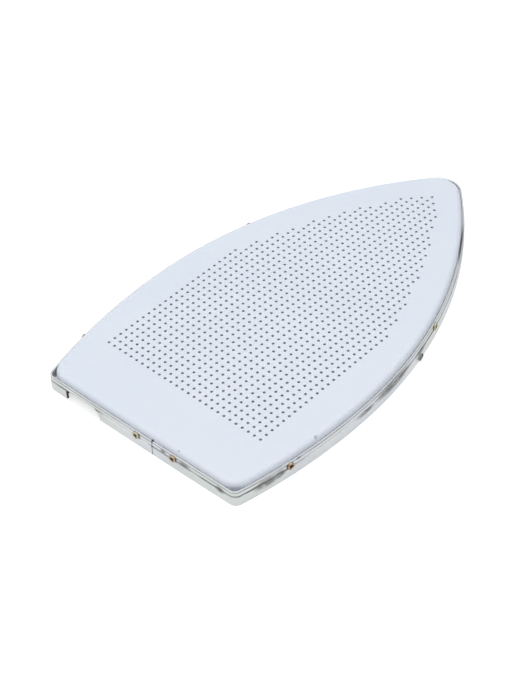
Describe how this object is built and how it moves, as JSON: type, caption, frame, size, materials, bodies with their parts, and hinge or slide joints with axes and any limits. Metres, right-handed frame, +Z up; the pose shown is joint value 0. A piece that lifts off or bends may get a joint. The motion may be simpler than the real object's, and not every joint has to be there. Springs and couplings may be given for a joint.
{
  "type": "iron shoe cover",
  "caption": "Non-stick shoe for a steam iron's sole: a perforated sole sheet with a rounded shoulder, riveted into a bent aluminium frame with a retaining spring",
  "frame": {"origin": "middle of the base, under the middle of the length and the width", "axes": "X across, Y from the heel to the nose, Z up to the sole face, in millimetres in the source and metres in the row"},
  "size_m": [0.1474, 0.2471, 0.0112],
  "materials": {
    "frame": "satin extruded aluminium, scuffed in places",
    "sheet": "pale satin non-stick sheet",
    "strap": "mill finish",
    "rivets": "dull brass",
    "spring": "dark drawn spring wire"
  },
  "bodies": {
    "root": {"frame_rim": "frame", "sole_sheet": "sheet", "joint_strap": "strap", "heel_rivet_left": "rivets", "heel_rivet_right": "rivets", "rear_rivet_left": "rivets", "rear_rivet_right": "rivets", "front_rivet_left": "rivets", "front_rivet_right": "rivets", "retaining_spring": "spring"}
  },
  "joints": []
}
